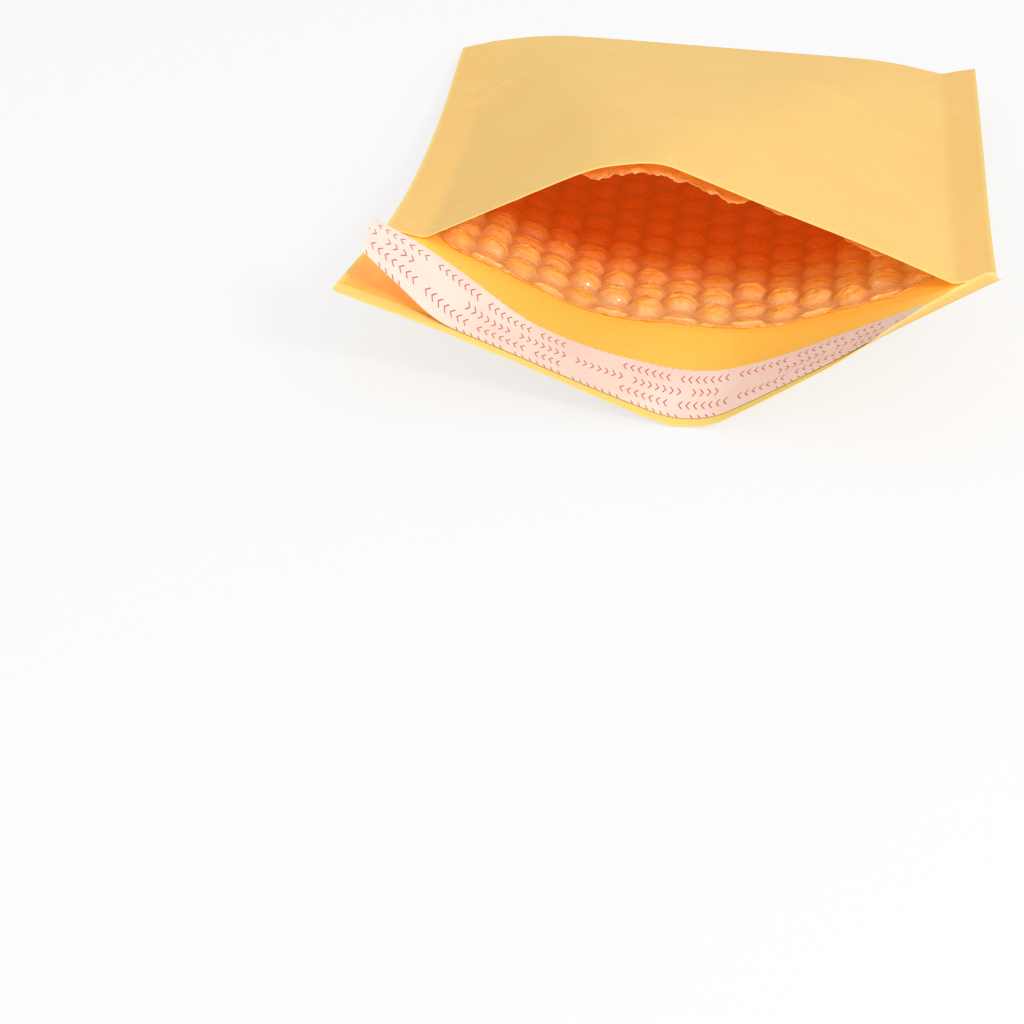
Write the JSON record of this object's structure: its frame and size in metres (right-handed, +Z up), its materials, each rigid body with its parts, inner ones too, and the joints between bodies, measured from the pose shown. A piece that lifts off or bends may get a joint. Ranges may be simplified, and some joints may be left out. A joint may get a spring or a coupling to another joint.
{
  "type": "padded envelope",
  "caption": "Open kraft padded envelope with a bubble-film lining, sealed sides and a flap carrying a covered adhesive strip.",
  "frame": {"origin": "centre of the bounding box's bottom face, on the surface that the envelope lies on", "axes": "+Z up, +Y from the mouth and flap towards the bottom fold, +X across the envelope to the right as seen from the mouth"},
  "size_m": [0.187, 0.2658, 0.0526],
  "materials": {
    "kraft_paper": "golden kraft, matt with a faint calendered sheen",
    "bubble_film": "clear glossy film over the kraft paper",
    "adhesive": "clear tacky film over the kraft paper",
    "release_paper": "siliconed paper, smooth, with a muted red printed pattern"
  },
  "bodies": {
    "root": {"paper_envelope": "kraft_paper", "bubble_liner": "bubble_film", "adhesive_strip": "adhesive", "release_liner": "release_paper"}
  },
  "joints": []
}
